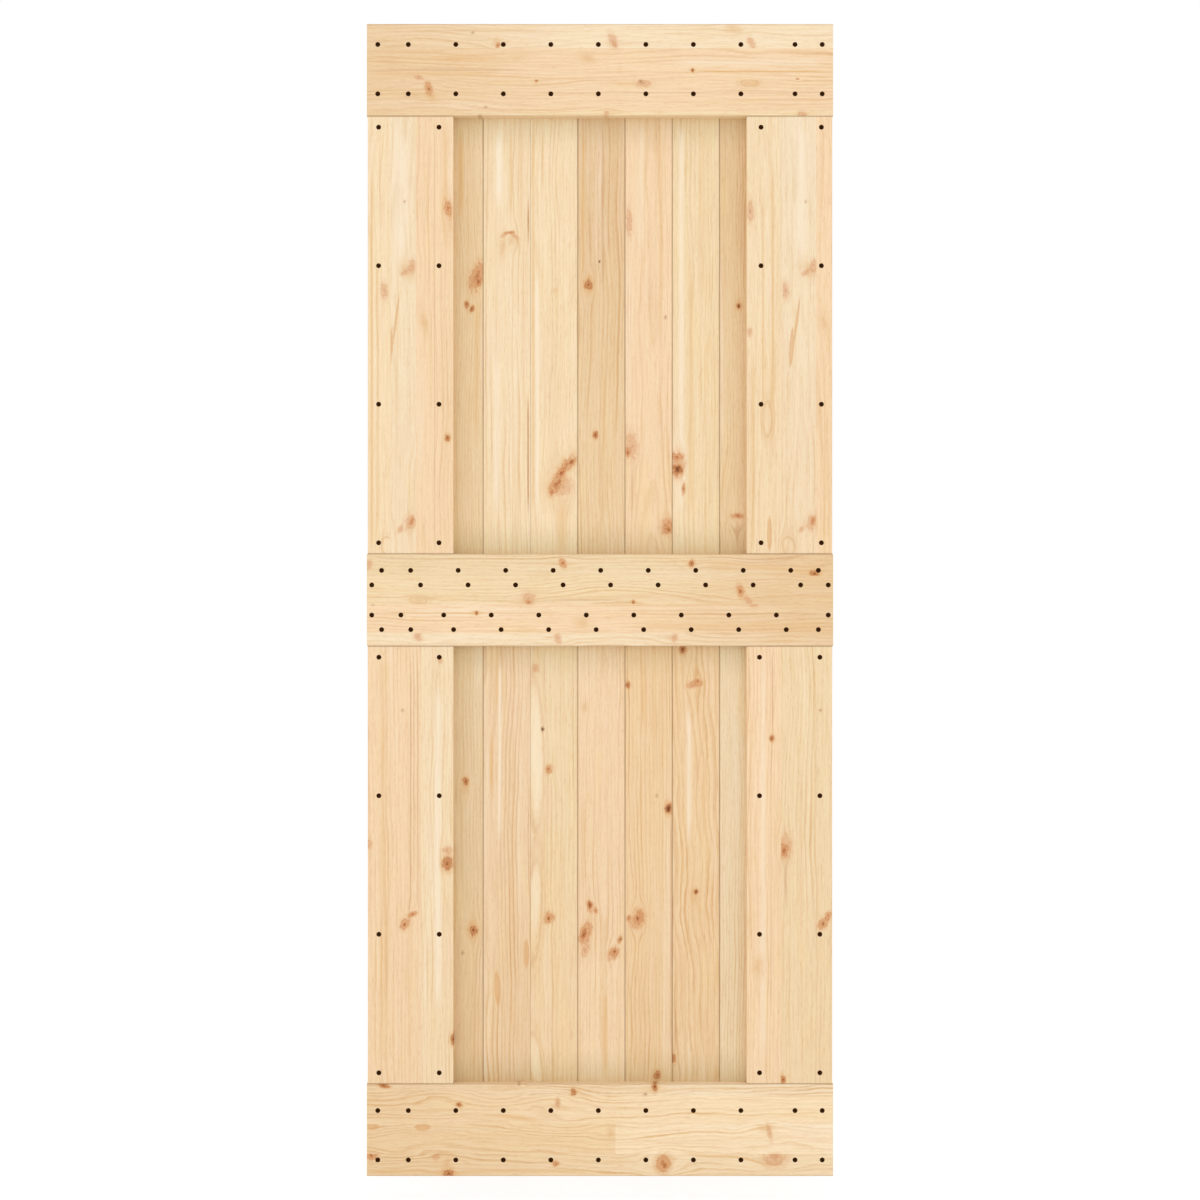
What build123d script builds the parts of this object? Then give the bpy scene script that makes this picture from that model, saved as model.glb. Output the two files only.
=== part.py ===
from build123d import *
import os

# Leaf of a sliding barn door in solid pine, as it is screwed together from boards.
# Two half-height panels of tongue-and-groove boards meet behind the middle rail.
# Three rails and four stiles are screwed on their front as one flat frame.
# Frame: +X to the right seen from the front, +Z up, the front faces -Y.
# The origin is the centre of the top rail's front face, where hanger straps bolt on.
# All sizes are in millimetres.

# The leaf as a whole
DOOR_WIDTH = 850.0
DOOR_HEIGHT = 2100.0

# Frame boards: rails run from side to side and stiles stand between them
FRAME_THICKNESS = 18.0
RAIL_HEIGHT = 168.0
STILE_WIDTH = 156.0
STILE_SETBACK = 1.5        # stiles and panel stand this far inside the rail ends
FRAME_JOINT_GAP = 0.3      # between a rail's edge and a stile's end
FRAME_EDGE_RADIUS = 1.0    # sanded front edges

# Tongue-and-groove boards of the panel
PANEL_THICKNESS = 18.0
BOARD_PITCH = 86.6         # face width of a whole board with its joint
BOARD_SHIFT = 2.5          # whole boards as laid, to the right of the leaf's middle
NARROWEST_EDGE_BOARD = 20.0
BOARD_JOINT_GAP = 0.3
BOARD_ARRIS = 0.6          # bevel along the edges of a board's two faces
TONGUE_LENGTH = 7.0
TONGUE_THICKNESS = 6.0
TONGUE_TIP_BEVEL = 1.0
TONGUE_CLEARANCE = 0.2     # on each cheek of the tongue and beyond its tip
CLOSED_JOINTS = (3,)       # joints pulled so tight that no bevel shows, counted from the left

# Countersunk holes for the screws that hold the frame to the panel
SCREW_HOLE_DIAMETER = 4.5
SCREW_HEAD_DIAMETER = 9.5
COUNTERSINK_DEPTH = 2.0
SCREW_HOLE_SIDES = 12      # few sides, because the holes are many and small

# Screws stand near the middle of the board behind them, as far off it as given here:
# on the first whole board, on those between, and on the last one
RAIL_SCREW_SHIFTS = (-5.5, -5.5, 6.5)
UPPER_ZIGZAG_SHIFTS = (-1.2, -1.2, -1.2)
LOWER_ZIGZAG_SHIFTS = (-1.0, -9.5, -9.5)

# Top and bottom rails: two level rows each
RAIL_ROW_PITCH = 90.0
TOP_ROW_DROP = 37.5        # from the leaf's top edge down to the first row
BOTTOM_ROW_RISE = 29.5     # from the leaf's bottom edge up to the last row
RAIL_END_INSET = 20.0      # outermost screws, from the rail's ends

# Middle rail: a zigzag of two rows for each half panel
ZIGZAG_INNER_ROW = 27.4    # from the rail's middle to its inner rows
ZIGZAG_OUTER_ROW = 54.0    # and to its outer rows
ZIGZAG_STEP = 18.0         # sideways from an outer screw to its inner neighbour
ZIGZAG_OUTER_INSET = 27.0  # end screws of the outer rows, from the rail's ends
ZIGZAG_INNER_INSET = 9.0   # end screws of the inner rows

# Stiles: two columns of screws in evenly spread rows
STILE_SCREW_ROWS = 4
STILE_END_INSET = 20.0     # first and last row, from the stile's ends
STILE_OUTER_INSET = 20.0   # column beside the leaf's edge
STILE_INNER_INSET = 26.0   # column beside the open panel
# Sideways shift of the screws as they were set in each stile
STILE_SCREW_SHIFTS = {"upper_left": 0.0, "upper_right": 0.0, "lower_left": 0.5, "lower_right": -2.8}

# Heights of the leaf, from the origin in the middle of the top rail
TOP = RAIL_HEIGHT / 2
BOTTOM = TOP - DOOR_HEIGHT
MIDDLE = (TOP + BOTTOM) / 2
RAIL_MIDDLES = {
    "top_rail": TOP - RAIL_HEIGHT / 2,
    "middle_rail": MIDDLE,
    "bottom_rail": BOTTOM + RAIL_HEIGHT / 2,
}

# Panel layout: whole boards side by side, and one narrower board at each edge of the leaf
PANEL_HALF_WIDTH = DOOR_WIDTH / 2 - STILE_SETBACK
ROOM_FOR_BOARDS = 2 * (PANEL_HALF_WIDTH - BOARD_SHIFT - NARROWEST_EDGE_BOARD)
WHOLE_BOARDS = int(ROOM_FOR_BOARDS // BOARD_PITCH)
FIRST_JOINT = BOARD_SHIFT - WHOLE_BOARDS * BOARD_PITCH / 2
JOINTS = [FIRST_JOINT + i * BOARD_PITCH for i in range(WHOLE_BOARDS + 1)]
BOARD_MIDDLES = [joint + BOARD_PITCH / 2 for joint in JOINTS[:-1]]
PANEL_MIDDLE = FRAME_THICKNESS + PANEL_THICKNESS / 2


def save(builder, name):
    # Labels a finished piece and writes it to its own file.
    builder.part.label = name
    export_step(builder.part, f"parts/{name}.step")


def panel_board(name, left, right, bottom, top, groove_bevel=None, tongue_bevel=None):
    # A board from joint to joint, grooved on its left edge and tongued on its right edge.
    # A bevel is that of the joint; an edge with none given is a plain outer edge of the leaf.
    half_gap = BOARD_JOINT_GAP / 2
    grooved = groove_bevel is not None
    tongued = tongue_bevel is not None
    left_face = left + half_gap if grooved else left
    right_face = right - half_gap if tongued else right
    left_bevel = groove_bevel if grooved else BOARD_ARRIS
    right_bevel = tongue_bevel if tongued else BOARD_ARRIS
    with BuildPart() as board:
        with BuildSketch(Plane.XY.offset(bottom)) as profile:
            with Locations((left_face, PANEL_MIDDLE)):
                Rectangle(right_face - left_face, PANEL_THICKNESS, align=(Align.MIN, Align.CENTER))
            corners = profile.vertices().group_by(Axis.X)
            if left_bevel:
                chamfer(corners[0], left_bevel)
            if right_bevel:
                chamfer(corners[-1], right_bevel)
            if tongued:
                with Locations((right_face, PANEL_MIDDLE)):
                    Rectangle(TONGUE_LENGTH, TONGUE_THICKNESS, align=(Align.MIN, Align.CENTER))
                chamfer(profile.vertices().group_by(Axis.X)[-1], TONGUE_TIP_BEVEL)
            if grooved:
                with Locations((left_face, PANEL_MIDDLE)):
                    Rectangle(
                        TONGUE_LENGTH - BOARD_JOINT_GAP + TONGUE_CLEARANCE,
                        TONGUE_THICKNESS + 2 * TONGUE_CLEARANCE,
                        align=(Align.MIN, Align.CENTER),
                        mode=Mode.SUBTRACT,
                    )
        extrude(amount=top - bottom)
    save(board, name)


def half_panel(half, bottom, top):
    # One row of boards from side to side, each tongue in the next board's groove.
    bevels = [0 if i in CLOSED_JOINTS else BOARD_ARRIS for i in range(len(JOINTS))]
    edges = [-PANEL_HALF_WIDTH, *JOINTS, PANEL_HALF_WIDTH]
    edge_bevels = [None, *bevels, None]
    names = ["left_edge_board", *(f"board_{i + 1}" for i in range(WHOLE_BOARDS)), "right_edge_board"]
    for i, name in enumerate(names):
        panel_board(
            f"{half}_{name}",
            edges[i],
            edges[i + 1],
            bottom,
            top,
            groove_bevel=edge_bevels[i],
            tongue_bevel=edge_bevels[i + 1],
        )


def screw_hole():
    # The cutter of one countersunk hole, on the front plane at the origin.
    with BuildPart() as cutter:
        with BuildSketch(Plane.XZ):
            RegularPolygon(SCREW_HEAD_DIAMETER / 2, SCREW_HOLE_SIDES)
        with BuildSketch(Plane.XZ.offset(-COUNTERSINK_DEPTH)):
            RegularPolygon(SCREW_HOLE_DIAMETER / 2, SCREW_HOLE_SIDES)
        loft()
        with BuildSketch(Plane.XZ.offset(-COUNTERSINK_DEPTH)):
            RegularPolygon(SCREW_HOLE_DIAMETER / 2, SCREW_HOLE_SIDES)
        extrude(amount=-(FRAME_THICKNESS - COUNTERSINK_DEPTH))
    return cutter.part


def frame_board(name, left, right, bottom, top, screws):
    # A flat board of the front frame with sanded front edges and countersunk screw holes.
    cutter = screw_hole()
    with BuildPart() as board:
        with BuildSketch(Plane.XZ):
            with Locations(((left + right) / 2, (bottom + top) / 2)):
                Rectangle(right - left, top - bottom)
        extrude(amount=-FRAME_THICKNESS)
        fillet(board.faces().sort_by(Axis.Y)[0].edges(), FRAME_EDGE_RADIUS)
        with Locations(*((x, 0, z) for x, z in screws)):
            add(cutter, mode=Mode.SUBTRACT)
    save(board, name)


def screw_row(height, shifts, end_inset, step=0.0):
    # One screw for each whole board, and one in each edge board.
    first, between, last = shifts
    board_shifts = [first, *[between] * (WHOLE_BOARDS - 2), last]
    end = DOOR_WIDTH / 2 - end_inset
    xs = [middle + shift + step for middle, shift in zip(BOARD_MIDDLES, board_shifts)]
    return [(x, height) for x in (-end, *xs, end)]


def rail_screws():
    # Screw places of each rail, as seen on its front face.
    top_row = TOP - TOP_ROW_DROP
    bottom_row = BOTTOM + BOTTOM_ROW_RISE
    return {
        "top_rail": [
            *screw_row(top_row, RAIL_SCREW_SHIFTS, RAIL_END_INSET),
            *screw_row(top_row - RAIL_ROW_PITCH, RAIL_SCREW_SHIFTS, RAIL_END_INSET),
        ],
        "middle_rail": [
            *screw_row(MIDDLE + ZIGZAG_OUTER_ROW, UPPER_ZIGZAG_SHIFTS, ZIGZAG_OUTER_INSET),
            *screw_row(MIDDLE + ZIGZAG_INNER_ROW, UPPER_ZIGZAG_SHIFTS, ZIGZAG_INNER_INSET, ZIGZAG_STEP),
            *screw_row(MIDDLE - ZIGZAG_INNER_ROW, LOWER_ZIGZAG_SHIFTS, ZIGZAG_INNER_INSET, -ZIGZAG_STEP),
            *screw_row(MIDDLE - ZIGZAG_OUTER_ROW, LOWER_ZIGZAG_SHIFTS, ZIGZAG_OUTER_INSET),
        ],
        "bottom_rail": [
            *screw_row(bottom_row + RAIL_ROW_PITCH, RAIL_SCREW_SHIFTS, RAIL_END_INSET),
            *screw_row(bottom_row, RAIL_SCREW_SHIFTS, RAIL_END_INSET),
        ],
    }


def rails():
    # Three boards across the whole leaf: one at each end, and one over the meeting half panels.
    for name, screws in rail_screws().items():
        bottom = RAIL_MIDDLES[name] - RAIL_HEIGHT / 2
        frame_board(name, -DOOR_WIDTH / 2, DOOR_WIDTH / 2, bottom, bottom + RAIL_HEIGHT, screws)


def stiles():
    # Two boards beside each open panel, cut to stand between the rails.
    outer = PANEL_HALF_WIDTH
    inner = outer - STILE_WIDTH
    columns = (inner + STILE_INNER_INSET, outer - STILE_OUTER_INSET)
    rails_around = {"upper": ("middle_rail", "top_rail"), "lower": ("bottom_rail", "middle_rail")}
    for half, (rail_below, rail_above) in rails_around.items():
        bottom = RAIL_MIDDLES[rail_below] + RAIL_HEIGHT / 2 + FRAME_JOINT_GAP
        top = RAIL_MIDDLES[rail_above] - RAIL_HEIGHT / 2 - FRAME_JOINT_GAP
        row_pitch = (top - bottom - 2 * STILE_END_INSET) / (STILE_SCREW_ROWS - 1)
        rows = [bottom + STILE_END_INSET + i * row_pitch for i in range(STILE_SCREW_ROWS)]
        for side, sign in (("left", -1), ("right", 1)):
            left, right = sorted((sign * inner, sign * outer))
            place = f"{half}_{side}"
            screws = [(sign * x + STILE_SCREW_SHIFTS[place], z) for x in columns for z in rows]
            frame_board(f"{place}_stile", left, right, bottom, top, screws)


os.makedirs("parts", exist_ok=True)
half_panel("upper", MIDDLE + BOARD_JOINT_GAP / 2, TOP)
half_panel("lower", BOTTOM, MIDDLE - BOARD_JOINT_GAP / 2)
rails()
stiles()
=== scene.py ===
import math
import random

import bpy
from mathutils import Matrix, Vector


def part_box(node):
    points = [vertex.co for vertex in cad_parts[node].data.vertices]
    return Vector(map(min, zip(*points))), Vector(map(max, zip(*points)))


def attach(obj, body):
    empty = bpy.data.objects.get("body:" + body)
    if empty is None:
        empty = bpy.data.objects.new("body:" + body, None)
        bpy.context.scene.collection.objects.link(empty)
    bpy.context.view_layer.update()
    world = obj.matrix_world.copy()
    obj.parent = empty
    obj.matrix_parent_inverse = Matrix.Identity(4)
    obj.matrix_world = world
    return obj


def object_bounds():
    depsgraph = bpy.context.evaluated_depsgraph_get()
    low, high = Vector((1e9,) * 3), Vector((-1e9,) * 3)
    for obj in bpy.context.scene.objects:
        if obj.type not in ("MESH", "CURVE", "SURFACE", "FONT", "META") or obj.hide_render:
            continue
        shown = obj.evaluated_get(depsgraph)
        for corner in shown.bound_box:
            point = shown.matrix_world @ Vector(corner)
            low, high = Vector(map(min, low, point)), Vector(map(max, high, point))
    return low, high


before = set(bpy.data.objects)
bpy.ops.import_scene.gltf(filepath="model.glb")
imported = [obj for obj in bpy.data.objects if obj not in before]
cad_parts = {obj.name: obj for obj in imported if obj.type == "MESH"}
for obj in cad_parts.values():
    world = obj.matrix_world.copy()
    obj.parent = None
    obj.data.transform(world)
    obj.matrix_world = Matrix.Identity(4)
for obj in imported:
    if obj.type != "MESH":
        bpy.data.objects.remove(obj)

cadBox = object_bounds()
print("frame loaded:", len(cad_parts), "boards")

# The leaf is measured as on the bench: millimetres to the right and down from its top left corner.
leaf = {
    "left": cadBox[0].x,
    "top": cadBox[1].z,
    "bottom": cadBox[0].z,
    "middle": (cadBox[0].z + cadBox[1].z) / 2,
    "scale": 1000,           # millimetres in a metre
    "close": 1e-5,           # points this close in metres lie on one face
}


class Wire:
    # A socket that can be used in a Python expression; each operator adds one Math node.
    def __init__(self, tree, socket):
        self.tree = tree
        self.socket = socket

    def maths(self, operation, *values):
        sockets = dict(enumerate(values))
        return self.tree.node("ShaderNodeMath", {"operation": operation}, sockets)

    def __add__(self, other):
        return self.maths("ADD", self, other)

    def __sub__(self, other):
        return self.maths("SUBTRACT", self, other)

    def __rsub__(self, other):
        return self.maths("SUBTRACT", other, self)

    def __mul__(self, other):
        return self.maths("MULTIPLY", self, other)

    def __truediv__(self, other):
        return self.maths("DIVIDE", self, other)

    def __gt__(self, other):
        return self.maths("GREATER_THAN", self, other)

    def __lt__(self, other):
        return self.maths("LESS_THAN", self, other)

    def __abs__(self):
        return self.maths("ABSOLUTE", self)

    __radd__ = __add__
    __rmul__ = __mul__

    def root(self):
        return self.maths("SQRT", self)

    def fraction(self):
        return self.maths("FRACT", self)

    def rise(self, start, end):
        # 0 at start, 1 at end, eased at both.
        settings = {"interpolation_type": "SMOOTHSTEP"}
        return self.tree.node("ShaderNodeMapRange", settings, {0: self, 1: start, 2: end, 3: 0.0, 4: 1.0})


class Tree:
    # A node tree of a material, of the world or of Geometry Nodes.
    def __init__(self, nodeTree):
        self.nodes = nodeTree.nodes
        self.links = nodeTree.links

    def node(self, kind, settings, sockets, output=0):
        made = self.nodes.new(kind)
        for setting, value in settings.items():
            if setting == "stops":
                self.setStops(made.color_ramp.elements, value)
            else:
                setattr(made, setting, value)
        self.fill(made, sockets)
        return Wire(self, made.outputs[output])

    def fill(self, made, sockets):
        for key, value in sockets.items():
            if isinstance(value, Wire):
                self.links.new(value.socket, made.inputs[key])
            else:
                made.inputs[key].default_value = value

    def setStops(self, points, stops):
        while len(points) < len(stops):
            points.new(1.0)
        for point, (place, colour) in zip(points, stops):
            point.position = place
            point.color = colour

    def seen(self):
        # 1 for what the camera sees itself, in a reflection or through glass.
        path = self.node("ShaderNodeLightPath", {}, {})
        rays = path.socket.node.outputs
        glossy, through = (Wire(self, rays[name]) for name in ("Is Glossy Ray", "Is Transmission Ray"))
        return path.maths("MAXIMUM", path.maths("MAXIMUM", path, glossy), through)

    def vector(self, x, y, z):
        return self.node("ShaderNodeCombineXYZ", {}, {0: x, 1: y, 2: z})

    def noise(self, x, y, z, detail=2.0, roughness=0.5):
        # Smooth noise centred on 0.
        sockets = {"Vector": self.vector(x, y, z), "Scale": 1.0, "Detail": detail, "Roughness": roughness}
        return self.node("ShaderNodeTexNoise", {}, sockets) - 0.5

    def mix(self, factor, first, second, blend="MIX"):
        settings = {"data_type": "RGBA", "blend_type": blend}
        return self.node("ShaderNodeMix", settings, {0: factor, 6: first, 7: second}, output=2)


def newMaterial(name):
    material = bpy.data.materials.new(name)
    material.use_nodes = True
    return material, Tree(material.node_tree), material.node_tree.nodes["Principled BSDF"]


def linear(red, green, blue, alpha=1.0):
    # A colour as read off a sample, to the values that a shader takes.
    def channel(value):
        value /= 255
        return value / 12.92 if value <= 0.04045 else ((value + 0.055) / 1.055) ** 2.4
    return (channel(red), channel(green), channel(blue), alpha)


# Pale wood between the growth rings, by the tone of the board.
tones = {
    "cream": linear(250, 229, 195),
    "ivory": linear(250, 227, 189),
    "straw": linear(249, 224, 182),
    "rose": linear(249, 219, 180),
    "honey": linear(242, 210, 166),
    "dun": linear(240, 212, 170),
    "tan": linear(235, 202, 158),
}

# Colours that lie over the wood; ring, joint, corner and bark multiply it. Corner is painted shade, standing in
# for the shadow in the recess beside the frame.
stains = {
    "ring": linear(230, 204, 166),
    "joint": linear(150, 122, 92),
    # painted shade of the recess beside the frame
    "corner": linear(222, 225, 214),
    "amber": linear(228, 180, 116),
    "brown": linear(200, 148, 102),
    "pale": linear(253, 237, 212),
    "bark": linear(204, 132, 90),
    "gold": linear(248, 220, 168),
    "pink": linear(248, 219, 190),
}

# Knots by kind: colour and cover from the middle (0) to the rim (0.5) and out into the grain (1).
knotKinds = {
    "dark": [
        (0.0, linear(112, 60, 22, 1.0)),
        (0.2, linear(150, 88, 40, 1.0)),
        (0.42, linear(202, 138, 82, 0.95)),
        (0.6, linear(226, 174, 118, 0.5)),
        (1.0, linear(236, 194, 142, 0.0)),
    ],
    "red": [
        (0.0, linear(136, 74, 28, 1.0)),
        (0.1, linear(168, 98, 44, 1.0)),
        (0.24, linear(212, 150, 94, 0.95)),
        (0.42, linear(190, 122, 66, 0.92)),
        (0.56, linear(224, 174, 118, 0.5)),
        (1.0, linear(236, 194, 142, 0.0)),
    ],
    "tawny": [
        (0.0, linear(172, 100, 50, 0.95)),
        (0.12, linear(200, 128, 72, 0.88)),
        (0.3, linear(226, 168, 112, 0.82)),
        (0.46, linear(212, 148, 94, 0.78)),
        (0.62, linear(230, 182, 128, 0.38)),
        (1.0, linear(238, 200, 150, 0.0)),
    ],
    "rose": [
        (0.0, linear(206, 144, 98, 0.7)),
        (0.2, linear(228, 174, 128, 0.58)),
        (0.42, linear(220, 162, 114, 0.56)),
        (0.6, linear(234, 190, 146, 0.26)),
        (1.0, linear(238, 202, 158, 0.0)),
    ],
    "pin": [
        (0.0, linear(156, 104, 60, 0.65)),
        (0.4, linear(190, 142, 98, 0.4)),
        (1.0, linear(228, 192, 150, 0.0)),
    ],
    "spot": [
        (0.0, linear(96, 58, 26, 0.95)),
        (0.35, linear(142, 98, 56, 0.7)),
        (0.6, linear(200, 154, 106, 0.25)),
        (1.0, linear(228, 186, 138, 0.0)),
    ],
    "amber": [
        (0.0, linear(222, 172, 112, 0.5)),
        (0.3, linear(226, 180, 122, 0.4)),
        (0.55, linear(232, 190, 138, 0.22)),
        (1.0, linear(238, 200, 152, 0.0)),
    ],
    "ghost": [
        (0.0, linear(236, 196, 146, 0.05)),
        (0.3, linear(234, 192, 142, 0.1)),
        (0.44, linear(214, 164, 108, 0.5)),
        (0.52, linear(230, 186, 134, 0.14)),
        (0.62, linear(222, 174, 120, 0.2)),
        (0.8, linear(236, 196, 146, 0.0)),
    ],
    "resin": [
        (0.0, linear(224, 172, 114, 0.62)),
        (0.38, linear(220, 166, 108, 0.66)),
        (0.52, linear(232, 188, 136, 0.0)),
    ],
    "sap": [
        (0.0, linear(253, 236, 206, 0.5)),
        (0.36, linear(252, 234, 202, 0.42)),
        (0.6, linear(250, 226, 188, 0.0)),
    ],
}

roughEdges = {"knot": 1.5, "ghost": 0.3, "sap": 0.35, "resin": 0.5}     # raggedness of the outline
hoopedKnots = ("dark", "red", "tawny", "rose")      # kinds that show rings of their own
glowingKnots = ("red", "dark")                      # kinds that stain the grain round them


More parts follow.
